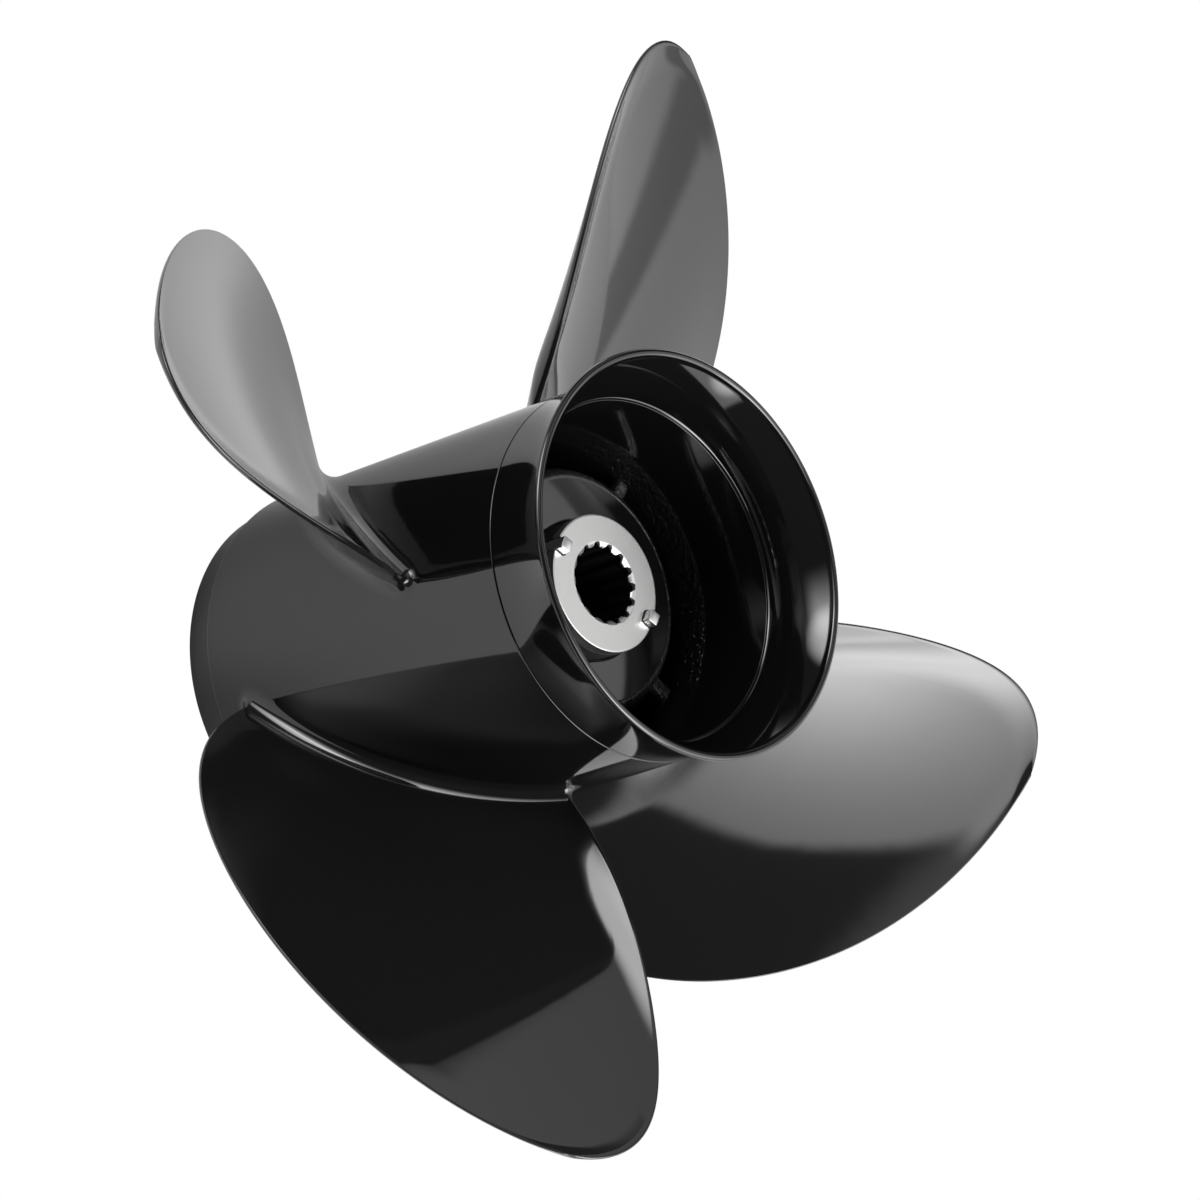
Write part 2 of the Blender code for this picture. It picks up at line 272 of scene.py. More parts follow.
def select_edges(obj, wanted):
    """Selects the edges of the open piece whose two ends pass a test."""
    mesh = bmesh.from_edit_mesh(obj.data)
    for edge in mesh.edges:
        start, end = edge.verts
        edge.select = wanted(start.co, end.co)
    bmesh.update_edit_mesh(obj.data)


def apply_boolean(obj, operation, cutter):
    """Cuts or joins with another mesh, which is then removed."""
    make_active(obj)
    modifier = obj.modifiers.new("Shape", "BOOLEAN")
    modifier.operation = operation
    modifier.solver = "EXACT"
    modifier.object = cutter
    bpy.ops.object.modifier_apply(modifier=modifier.name)
    bpy.data.objects.remove(cutter, do_unlink=True)


def finish_piece(obj, material, node):
    """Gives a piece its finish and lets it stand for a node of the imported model."""
    obj.data.materials.clear()
    obj.data.materials.append(material)
    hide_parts(node)
    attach(obj, "root")


def repeat_and_finish(obj, offset, material, node):
    """Makes a piece for each blade, each with its own mesh and turned about the shaft, from the first."""
    stem = obj.name
    pieces = [obj]
    for _ in range(BLADES - 1):
        copy = obj.copy()
        copy.data = obj.data.copy()
        bpy.context.scene.collection.objects.link(copy)
        pieces.append(copy)
    for i, piece in enumerate(pieces, 1):
        piece.name = f"{stem}_{i}"
        piece.data.name = piece.name
        piece.data.transform(Matrix.Rotation(offset + i * TURN / BLADES, 4, "Z"))
        piece.data.update()
        finish_piece(piece, material, f"{node}_{i}")


def smooth(share):
    """Smooth rise from 0 to 1."""
    share = min(1.0, max(0.0, share))
    return share * share * (3 - 2 * share)


# Shader helpers


class Wire:
    """A socket in an expression. Operators on wires add Math nodes."""

    def __init__(self, graph, socket):
        self.graph = graph
        self.socket = socket

    def _math(self, operation, *values):
        return self.graph.add("ShaderNodeMath", {"operation": operation}, values)

    def __add__(self, other):
        return self._math("ADD", self, other)

    __radd__ = __add__

    def __sub__(self, other):
        return self._math("SUBTRACT", self, other)

    def __rsub__(self, other):
        return self._math("SUBTRACT", other, self)

    def __mul__(self, other):
        return self._math("MULTIPLY", self, other)

    __rmul__ = __mul__

    def power(self, other):
        return self._math("POWER", self, other)

    def root(self):
        return self._math("SQRT", self)

    def at_least(self, other):
        return self._math("MAXIMUM", self, other)

    def at_most(self, other):
        return self._math("MINIMUM", self, other)

    def ramp(self, low, high):
        """0 below low, 1 above high and smooth between them."""
        values = {"Value": self, "From Min": low, "From Max": high}
        return self.graph.add("ShaderNodeMapRange", {"interpolation_type": "SMOOTHSTEP"}, values)


class Graph:
    """The nodes of a material or of the world."""

    def __init__(self, owner, shader="Principled BSDF"):
        owner.use_nodes = True
        self.owner = owner
        self.tree = owner.node_tree
        self.shader = self.tree.nodes[shader]

    def add(self, kind, settings, values, output=0):
        """Adds a node with its settings and then the values or wires of its sockets."""
        node = self.tree.nodes.new(kind)
        for key, value in settings.items():
            setattr(node, key, value)
        pairs = values.items() if isinstance(values, dict) else enumerate(values)
        for key, value in pairs:
            if isinstance(value, Wire):
                self.tree.links.new(value.socket, node.inputs[key])
            else:
                node.inputs[key].default_value = value
        return Wire(self, node.outputs[output])

    def feed(self, socket, value):
        """Sets or links a socket of the material's or the world's own shader."""
        if isinstance(value, Wire):
            self.tree.links.new(value.socket, self.shader.inputs[socket])
        else:
            self.shader.inputs[socket].default_value = value

    def parts_of(self, vector):
        """The x, y and z of a vector."""
        return [self.add("ShaderNodeSeparateXYZ", {}, [vector], part) for part in range(3)]

    def place(self):
        """Object coordinates."""
        return self.add("ShaderNodeTexCoord", {}, {}, "Object")

    def round_shaft(self, place):
        """Distance of a place from the shaft axis and its height along it."""
        x, y, height = self.parts_of(place)
        return (x * x + y * y).root(), height

    def noise(self, place, scale, detail, roughness=0.5):
        values = {"Vector": place, "Scale": scale, "Detail": detail, "Roughness": roughness}
        return self.add("ShaderNodeTexNoise", {}, values)

    def mix_colors(self, mask, first, second):
        values = {"Factor": mask, 6: (*first, 1.0), 7: (*second, 1.0)}
        return self.add("ShaderNodeMix", {"data_type": "RGBA"}, values, 2)

    def bump(self, height, distance, strength):
        values = {"Height": height, "Distance": distance, "Strength": strength}
        self.feed("Normal", self.add("ShaderNodeBump", {}, values))

    def along(self, direction, axis):
        """How far a direction of the sky points along an axis."""
        settings = {"operation": "DOT_PRODUCT"}
        return self.add("ShaderNodeVectorMath", settings, [direction, axis], "Value")

    def near(self, direction, azimuth, elevation):
        """Cosine of the angle from a place in the sky, given in degrees."""
        turn = math.radians(azimuth)
        rise = math.radians(elevation)
        aim = (math.cos(turn) * math.cos(rise), math.sin(turn) * math.cos(rise), math.sin(rise))
        return self.along(direction, aim)

    def past(self, direction, azimuth, soft):
        """0 on one side of an upright plane at an azimuth and 1 on the anticlockwise side."""
        turn = math.radians(azimuth)
        return self.along(direction, (-math.sin(turn), math.cos(turn), 0.0)).ramp(-soft, soft)

    def glow(self, direction, aim, sharpness, strength):
        """A light in the sky that fades evenly away from its middle."""
        return self.near(direction, *aim).at_least(0.0).power(sharpness) * strength

    def soft_light(self, direction, aim, inner, outer, strength):
        """A round soft light in the sky, full within inner degrees and gone beyond outer degrees."""
        low = math.cos(math.radians(outer))
        high = math.cos(math.radians(inner))
        return self.near(direction, *aim).ramp(low, high) * strength


# Finishes

# A noise is its scale, its detail and, where given, its roughness. A bump is its distance and its strength.
# A wall, top, face or edge is where a mask fades.
PAINT_IOR = 1.5
RIPPLE = (90.0, 1.0)
RIPPLE_BUMP = (0.00003, 0.5)
HAZE = (35.0, 3.0)
HAZE_ROUGHNESS = 0.03
CASTING_GRAINS = (650.0, 3.0, 0.6)
CASTING_BUMP = (0.0006, 1.0)
PASSAGE_WALL = (0.0515, 0.0525)
PASSAGE_TOP = (0.1155, 0.1185)
PASSAGE_ROUGHNESS = 0.08
CASTING_ROUGHNESS = 0.15
MACHINED_ROUGHNESS = 0.08
MACHINED_FACE = (0.11780, 0.11795)
MACHINED_EDGE = (0.0340, 0.0352)
ALLOY_GRAIN = (2600.0, 2.0, 0.6)
ALLOY_BUMP = (0.00004, 0.6)
ALLOY_CLOUD = (160.0, 3.0)
ALLOY_ROUGHNESS = 0.3
CLOUD_ROUGHNESS = 0.08
GRAIN_ROUGHNESS = 0.06
BORE_ROUGHNESS = 0.2
# Painted shade: the colour inside the sleeve's bore stands in for the shade in it.
BORE_SHADE_COLOUR = (0.012, 0.012, 0.012)
BORE_WALL = (0.0128, 0.0131)
BORE_TOP = (0.1248, 0.1254)


def gloss_paint():
    """Deep gloss paint over a casting: a hint of ripple and a faint uneven haze."""
    finish = bpy.context.scene.propeller_finish
    graph = Graph(bpy.data.materials.new("gloss_paint"))
    place = graph.place()
    graph.feed("Base Color", (*finish.paint, 1.0))
    graph.feed("Roughness", finish.paint_roughness + graph.noise(place, *HAZE) * HAZE_ROUGHNESS)
    graph.feed("IOR", PAINT_IOR)
    graph.bump(graph.noise(place, *RIPPLE), *RIPPLE_BUMP)
    return graph.owner


def barrel_paint():
    """Gloss paint, darkened as painted shade, with the rough sand casting left in the passage below the
    machined bore.
    """
    finish = bpy.context.scene.propeller_finish
    graph = Graph(bpy.data.materials.new("barrel_paint"))
    place = graph.place()
    radius, height = graph.round_shaft(place)
    cast = (1 - radius.ramp(*PASSAGE_WALL)) * (1 - height.ramp(*PASSAGE_TOP))
    haze = graph.noise(place, *HAZE) * HAZE_ROUGHNESS
    # The darker paint is painted shade on the barrel and the ring.
    graph.feed("Base Color", (*finish.deep_paint, 1.0))
    graph.feed("Roughness", finish.paint_roughness + haze + cast * PASSAGE_ROUGHNESS)
    graph.feed("IOR", PAINT_IOR)
    graph.bump(graph.noise(place, *CASTING_GRAINS) * cast, *CASTING_BUMP)
    return graph.owner


def cast_paint():
    """Painted sand casting in the darkened paint, which is painted shade: rough grains everywhere but on the
    hub's machined aft face.
    """
    finish = bpy.context.scene.propeller_finish
    graph = Graph(bpy.data.materials.new("cast_paint"))
    place = graph.place()
    radius, height = graph.round_shaft(place)
    machined = height.ramp(*MACHINED_FACE) * (1 - radius.ramp(*MACHINED_EDGE))
    smoother = machined * (CASTING_ROUGHNESS - MACHINED_ROUGHNESS)
    # The darker paint is painted shade on the hub and the ribs.
    graph.feed("Base Color", (*finish.deep_paint, 1.0))
    graph.feed("Roughness", CASTING_ROUGHNESS - smoother)
    graph.feed("IOR", PAINT_IOR)
    graph.bump(graph.noise(place, *CASTING_GRAINS) * (1 - machined), *CASTING_BUMP)
    return graph.owner


def satin_alloy():
    """Bare metal with a fine grain, darkened inside the bore as painted shade."""
    finish = bpy.context.scene.propeller_finish
    graph = Graph(bpy.data.materials.new("satin_alloy"))
    place = graph.place()
    radius, height = graph.round_shaft(place)
    grain = graph.noise(place, *ALLOY_GRAIN)
    bore = (1 - radius.ramp(*BORE_WALL)) * (1 - height.ramp(*BORE_TOP))
    worn = graph.noise(place, *ALLOY_CLOUD) * CLOUD_ROUGHNESS + grain * GRAIN_ROUGHNESS
    # The bore's dark colour is painted shade.
    graph.feed("Base Color", graph.mix_colors(bore, finish.alloy, BORE_SHADE_COLOUR))
    graph.feed("Metallic", 1.0)
    graph.feed("Roughness", worn + bore * BORE_ROUGHNESS + ALLOY_ROUGHNESS)
    graph.bump(grain, *ALLOY_BUMP)
    return graph.owner


def shared(maker):
    """The finish that a function makes under its own name, made once for all the pieces that have it."""
    return bpy.data.materials.get(maker.__name__) or maker()


# The barrel and the flared ring

FORE_LAND = (0.0554, 0.0117)
BODY_FORE_RADIUS = 0.0580
BODY_AFT_RADIUS = 0.0564
SEAM = 0.1380
SPIGOT_RADIUS = 0.0540
SPIGOT_END = 0.1426
MACHINED_BORE = (0.0512, 0.1170)
CAST_BORE = (0.0490, 0.1080)
MOUTH = (0.0508, 0.0080)
RIM_RADIUS = 0.0614
RIM_END = 0.1633
FLARE_WALL = 0.0024
FLARE_POWER = 2.2
FLARE_INSIDE_POWER = 1.7
FLARE_STEPS = 26
FLARE_EDGE_BREAK = 0.0003
LIP_STEPS = 12
LEDGE_RADIUS = 0.0514
LEDGE_HEIGHT = 0.0006
CONE_START = 0.0519


def body_radius(height):
    """Radius of the barrel's drafted outside at a height."""
    share = (height - FORE_LAND[1]) / (SEAM - FORE_LAND[1])
    return BODY_FORE_RADIUS + (BODY_AFT_RADIUS - BODY_FORE_RADIUS) * share


def barrel_profile():
    """The barrel's section, from the fore mouth over the outside and the spigot, back down the bore."""
    return rounded(
        [
            corner(MOUTH[0], 0.0, 0.0005),
            corner(FORE_LAND[0], 0.0, 0.0006),
            corner(FORE_LAND[0], FORE_LAND[1], 0.0002),
            corner(BODY_FORE_RADIUS, FORE_LAND[1], 0.0006),
            corner(BODY_AFT_RADIUS, SEAM, 0.0003),
            corner(SPIGOT_RADIUS, SEAM, 0.0001),
            corner(SPIGOT_RADIUS, SPIGOT_END, 0.0002),
            corner(MACHINED_BORE[0], SPIGOT_END, 0.0002),
            corner(*MACHINED_BORE, 0.0015),
            corner(*CAST_BORE, 0.0040),
            corner(CAST_BORE[0], MOUTH[1], 0.0004),
            corner(MOUTH[0], MOUTH[1], 0.0003),
        ]
    )


class PROPELLER_OT_add_barrel(bpy.types.Operator):
    """Adds the outer exhaust barrel, turned from its profile"""

    bl_idname = "propeller.add_barrel"
    bl_label = "Add Barrel"

    def execute(self, context):
        obj = turned("exhaust_barrel", barrel_profile(), context.scene.propeller_shape.turned_steps)
        finish_piece(obj, shared(barrel_paint), "barrel")
        return {"FINISHED"}


def flare_radius(height):
    """Outside radius of the flared ring, which opens ever faster towards the rim."""
    share = max(0.0, (height - SEAM) / (RIM_END - SEAM))
    return BODY_AFT_RADIUS + (RIM_RADIUS - BODY_AFT_RADIUS) * share**FLARE_POWER


def flared_ring_profile():
    """The ring's section: outside up to the rolled lip, inside down to the seat on the barrel."""
    low = SEAM + GAP
    lip = FLARE_WALL / 2
    top = RIM_END - lip
    first = low + 0.0004
    heights = [first + (top - first) * i / FLARE_STEPS for i in range(FLARE_STEPS)]
    outside = [(flare_radius(low) - FLARE_EDGE_BREAK, low), (flare_radius(low), low + FLARE_EDGE_BREAK)]
    outside += [(flare_radius(z), z) for z in heights[1:]]
    lip_arc = []
    for i in range(LIP_STEPS + 1):
        turn = math.pi * i / LIP_STEPS
        lip_arc.append((RIM_RADIUS - lip + lip * math.cos(turn), top + lip * math.sin(turn)))
    seat = SPIGOT_END + GAP
    foot = seat + LEDGE_HEIGHT
    cone_rise = RIM_RADIUS - FLARE_WALL - CONE_START
    inside = []
    for z in heights:
        if z > foot + LEDGE_HEIGHT / 2:
            share = (z - foot) / (top - foot)
            inside.append((CONE_START + cone_rise * share**FLARE_INSIDE_POWER, z))
    ledge = [(CONE_START, foot), (LEDGE_RADIUS + 0.0001, seat + LEDGE_HEIGHT / 2), (LEDGE_RADIUS, seat)]
    socket = [(SPIGOT_RADIUS + GAP, seat), (SPIGOT_RADIUS + GAP, low)]
    return outside + lip_arc + inside[::-1] + ledge + socket


class PROPELLER_OT_add_flared_ring(bpy.types.Operator):
    """Adds the flared ring that is pressed on the barrel's aft end"""

    bl_idname = "propeller.add_flared_ring"
    bl_label = "Add Flared Ring"

    def execute(self, context):
        steps = context.scene.propeller_shape.turned_steps
        obj = turned("flared_rim_ring", flared_ring_profile(), steps, smooth_angle=35)
        finish_piece(obj, shared(barrel_paint), "flared_ring")
        return {"FINISHED"}


# The inner hub and its ribs

HUB_RADIUS = 0.0390
HUB_FORE_END = 0.0120
HUB_FACE = 0.1180
HUB_FACE_RADIUS = 0.0343
HUB_SHOULDER = 0.0090
HUB_BORE = (0.0293, 0.1080)
HUB_NECK = 0.0213
SHOULDER_STEPS = 12
RIB_HALF = 0.0031
RIB_FORE_END = 0.0180
RIB_AFT_END = 0.1115
RIB_FLAT_RADIUS = 0.0465
RIB_ANGLE = math.radians(13.8)
RIB_FILLET = 0.0034
RIB_TOP_ROUNDING = 0.0024
RIB_TOP_GROWTH = 0.9
RIB_INNER_RADIUS = 0.0386
RIB_OUTER_RADIUS = 0.0496
RIB_STATIONS = 26
RIB_TOP_POINTS = 13
RIB_SIDE_POINTS = 11


def hub_profile():
    """The inner tube: a rounded shoulder from its flat aft face and a neck round the bush's end."""
    depth = HUB_RADIUS - HUB_FACE_RADIUS
    shoulder = []
    for i in range(SHOULDER_STEPS + 1):
        turn = math.pi / 2 * i / SHOULDER_STEPS
        height = HUB_FACE - HUB_SHOULDER * (1 - math.sin(turn))
        shoulder.append(corner(HUB_FACE_RADIUS + depth * math.cos(turn), height))
    return rounded(
        [
            *shoulder,
            corner(HUB_NECK, HUB_FACE, 0.0005),
            corner(HUB_NECK, HUB_BORE[1], 0.0003),
            corner(*HUB_BORE, 0.0003),
            corner(HUB_BORE[0], HUB_FORE_END, 0.0006),
            corner(HUB_RADIUS, HUB_FORE_END, 0.0010),
        ]
    )


def fillet_growth(above, radius):
    """How far a corner of a radius reaches sideways at a distance above the face that it stands on."""
    reach = min(radius, max(0.0, radius - above))
    return radius - math.sqrt(max(0.0, radius * radius - reach * reach))


def rib_section(radius):
    """One ring round a rib at a radius: a tall rectangle with rounded top corners."""
    at_hub = fillet_growth(radius - HUB_RADIUS, RIB_FILLET)
    at_barrel = fillet_growth(CAST_BORE[0] - radius, RIB_FILLET)
    half = RIB_HALF + at_hub + at_barrel
    top = RIB_AFT_END
    if radius > RIB_FLAT_RADIUS:
        slope = (RIB_AFT_END - CAST_BORE[1]) / (CAST_BORE[0] - RIB_FLAT_RADIUS)
        top -= slope * (radius - RIB_FLAT_RADIUS)
    rounding = RIB_TOP_ROUNDING + (half - RIB_HALF) * RIB_TOP_GROWTH
    shoulder = top - rounding
    points = []
    for i in range(RIB_TOP_POINTS):
        turn = math.pi / 2 * i / (RIB_TOP_POINTS - 1)
        points.append((half - rounding + rounding * math.cos(turn), shoulder + rounding * math.sin(turn)))
    points += [(-y, z) for y, z in points[::-1]]
    for i in range(RIB_SIDE_POINTS):
        points.append((-half, shoulder + (RIB_FORE_END - shoulder) * (i + 1) / RIB_SIDE_POINTS))
    for i in range(RIB_SIDE_POINTS):
        points.append((half, RIB_FORE_END + (shoulder - RIB_FORE_END) * i / RIB_SIDE_POINTS))
    return [(radius * math.cos(y / radius), radius * math.sin(y / radius), z) for y, z in points]


class PROPELLER_OT_add_inner_hub(bpy.types.Operator):
    """Adds the cast inner hub and the four ribs that carry it"""

    bl_idname = "propeller.add_inner_hub"
    bl_label = "Add Inner Hub and Ribs"

    def execute(self, context):
        material = shared(cast_paint)
        steps = context.scene.propeller_shape.turned_steps
        hub = turned("cast_inner_hub", hub_profile(), steps, smooth_angle=40)
        finish_piece(hub, material, "inner_hub")
        sections = []
        for i in range(RIB_STATIONS):
            share = (1 - math.cos(math.pi * i / (RIB_STATIONS - 1))) / 2
            sections.append(rib_section(RIB_INNER_RADIUS + (RIB_OUTER_RADIUS - RIB_INNER_RADIUS) * share))
        rib = lofted("cast_rib", sections, smooth_angle=60, filled=True)
        repeat_and_finish(rib, RIB_ANGLE, material, "rib")
        return {"FINISHED"}


# The hub kit: bush, sleeve and washer

BUSH_FORE_END = 0.0150
SLEEVE_RADIUS = 0.0182
SLEEVE_ENDS = (0.0080, 0.1229)
SLEEVE_BREAK = 0.0006
SPLINE_TEETH = 15
SPLINE_TIP_RADIUS = 0.0112
SPLINE_ROOT_RADIUS = 0.0125
SPLINE_ANGLE = math.radians(14.5)
TOOTH_LAND = 0.17
TOOTH_FLANK = 0.17
TOOTH_EASE = 0.3
TOOTH_POINTS = 20
WASHER_RADIUS = 0.0210
WASHER_FACE = 0.1263
WASHER_BREAK = 0.0004
LEAD_IN = 0.0009
LUG_RADII = (0.0172, 0.0210)
LUG_WIDTH = 0.0041
LUG_ENDS = (0.1120, 0.1289)
LUG_ROUNDING = 0.0007
LUG_TOP_BREAK = 0.00035
LUG_ANGLE = math.radians(20.3)
NOTCH_RADII = (0.0166, 0.0260)
NOTCH_WIDTH = 0.0052
NOTCH_ENDS = (0.1110, 0.1300)
NOTCH_ROUNDING = 0.0016


def bush_profile():
    """The moulded bush's section: a thick body and a thin neck up to the washer."""
    sleeve = SLEEVE_RADIUS + GAP
    body = HUB_BORE[0] - GAP
    body_end = HUB_BORE[1] - GAP
    neck = HUB_NECK - GAP
    return rounded(
        [
            corner(sleeve, BUSH_FORE_END, 0.0003),
            corner(body, BUSH_FORE_END, 0.0010),
            corner(body, body_end, 0.0004),
            corner(neck, body_end, 0.0002),
            corner(neck, SLEEVE_ENDS[1], 0.0003),
            corner(sleeve, SLEEVE_ENDS[1], 0.0002),
        ],
        arc_steps=3,
    )


def spline_radius(angle):
    """Radius of the toothed bore at an angle, with eased tooth corners."""
    tooth = TURN / SPLINE_TEETH
    share = abs(((angle - SPLINE_ANGLE) / tooth + 0.5) % 1.0 - 0.5)
    flank = min(1.0, max(0.0, (share - TOOTH_LAND) / TOOTH_FLANK))
    eased = flank * (1 - TOOTH_EASE) + TOOTH_EASE * smooth(flank)
    return SPLINE_TIP_RADIUS + (SPLINE_ROOT_RADIUS - SPLINE_TIP_RADIUS) * eased


def toothed_tube(name, outer_radius, low, high, lead_in, outer_break):
    """A tube with the toothed bore, its teeth sloped back by lead_in at the aft end."""
    around = SPLINE_TEETH * TOOTH_POINTS
    angles = [TURN * i / around for i in range(around)]
    bore = [spline_radius(angle) for angle in angles]
    span = SPLINE_ROOT_RADIUS - SPLINE_TIP_RADIUS

    def loop(radii, heights):
        points = []
        for angle, radius, height in zip(angles, radii, heights):
            points.append((radius * math.cos(angle), radius * math.sin(angle), height))
        return points

    def flat(radius, height):
        return loop([radius] * around, [height] * around)

    sloped = [high - lead_in * (SPLINE_ROOT_RADIUS - radius) / span for radius in bore]
    rim = SPLINE_ROOT_RADIUS + 0.00008
    # A ring stands close to each side of a corner, so that smooth shading leaves the flats flat.
    sections = [
        loop(bore, [low] * around),
        loop(bore, [(low + height) / 2 for height in sloped]),
        loop(bore, [height - 0.00015 for height in sloped]),
        loop([radius + 0.00006 for radius in bore], [height - 0.00002 for height in sloped]),
        flat(rim, high),
        flat(rim + 0.0003, high),
        flat((rim + outer_radius) / 2, high),
        flat(outer_radius - outer_break - 0.0002, high),
        flat(outer_radius - outer_break, high),
        flat(outer_radius - outer_break * 0.3, high - outer_break * 0.3),
        flat(outer_radius, high - outer_break),
        flat(outer_radius, high - outer_break - 0.0002),
        flat(outer_radius, low + 0.0004),
        flat(outer_radius, low + 0.0002),
        flat(outer_radius - 0.0002, low),
        flat(outer_radius - 0.0004, low),
        loop([radius + 0.0003 for radius in bore], [low] * around),
        loop(bore, [low] * around),
    ]
    return lofted(name, sections, smooth_angle=40)


def rounded_post(radii, width, ends, rounding, angle, top_break=0.0):
    """A square post with rounded sides that stands along the shaft, off its axis."""
    deselect_all()
    bpy.ops.mesh.primitive_cube_add(size=1.0)
    obj = bpy.context.active_object
    size = Matrix.Diagonal((radii[1] - radii[0], width, ends[1] - ends[0], 1.0))
    place = Matrix.Translation((sum(radii) / 2, 0.0, sum(ends) / 2))
    obj.data.transform(place @ size)
    edit(obj, "EDGE")
    middle = sum(ends) / 2
    select_edges(obj, lambda start, end: (start.z - middle) * (end.z - middle) < 0)
    bpy.ops.mesh.bevel(offset=rounding, segments=8, affect="EDGES")
    if top_break > 0:
        select_edges(obj, lambda start, end: min(start.z, end.z) > ends[1] - DOUBLES)
        bpy.ops.mesh.bevel(offset=top_break, segments=2, affect="EDGES")
    leave_edit()
    obj.data.transform(Matrix.Rotation(angle, 4, "Z"))
    return obj


class PROPELLER_OT_add_hub_kit(bpy.types.Operator):
    """Adds the rubber bush, the splined sleeve with its two lugs and the notched washer"""

    bl_idname = "propeller.add_hub_kit"
    bl_label = "Add Hub Kit"

    def execute(self, context):
        bush = turned("moulded_bush", bush_profile(), context.scene.propeller_shape.turned_steps // 2)
        sleeve = toothed_tube("splined_sleeve", SLEEVE_RADIUS, *SLEEVE_ENDS, 0.0, SLEEVE_BREAK)
        washer_seat = SLEEVE_ENDS[1] + GAP
        washer = toothed_tube(
            "washer_with_notches", WASHER_RADIUS, washer_seat, WASHER_FACE, LEAD_IN, WASHER_BREAK
        )
        for angle in (LUG_ANGLE, LUG_ANGLE + math.pi):
            lug = rounded_post(LUG_RADII, LUG_WIDTH, LUG_ENDS, LUG_ROUNDING, angle, LUG_TOP_BREAK)
            apply_boolean(sleeve, "UNION", lug)
            for piece in (bush, washer):
                notch = rounded_post(NOTCH_RADII, NOTCH_WIDTH, NOTCH_ENDS, NOTCH_ROUNDING, angle)
                apply_boolean(piece, "DIFFERENCE", notch)
        for piece in (bush, sleeve, washer):
            close_and_smooth(piece, 40)
        packed_rubber = bpy.data.objects["rubber_bush"].data.materials[0]
        finish_piece(bush, packed_rubber, "rubber_bush")
        finish_piece(sleeve, shared(satin_alloy), "drive_sleeve")
        finish_piece(washer, shared(satin_alloy), "notched_washer")
        return {"FINISHED"}


# The blades

ROOT_RADIUS = 0.0580
ROOT_MID_ANGLE = math.radians(13.5)
SKEW_STEADY = math.radians(7.6)
SKEW_SWEPT = math.radians(13.6)
ROOT_HALF_ANGLE = math.radians(35.0)
OUTLINE_POWER = 1.8
OUTLINE_ROUNDING = 0.61
RAKE_SLOPE = 0.382
RAKE_START = 0.0462
ROOT_PITCH_LOSS = 0.20
PITCH_LOSS_POWER = 4
ROOT_THICKNESS = 0.0085
TIP_THICKNESS = 0.0030
LEADING_EDGE = 0.0014
TRAILING_EDGE = 0.0018
BACK_ROUNDING = 0.9
CUP_SLOPE = 0.44
CUP_WIDTH = 0.0215
CUP_CURVE = 1.5
CUP_ROOT_RUN = 0.0260
CUP_NARROWING = 0.75
CUP_EASE = 0.45
NOSE_SLOPE = 0.025
NOSE_WIDTH = 0.0140
NOSE_CHORD = 0.05
TRAILING_ROUNDING = (0.0011, 2.6)
LEADING_ROUNDING = (0.0008, 2.2)
SLANT_STEP = 0.0001
TIP_MARGIN = 1e-7
SMALLEST_WIDTH = 1e-6
EDGE_POINTS = 8
MIDDLE_POINTS = 36
FILLET_STATIONS = 12
BODY_STATIONS = 62
BODY_TAPER = 0.4
TIP_INSETS = (
    0.0050, 0.0040, 0.0031, 0.0024, 0.0018, 0.0013, 0.0009, 0.0006, 0.00038, 0.0002, 0.00008, 0.0
)
BURIED = 0.0007


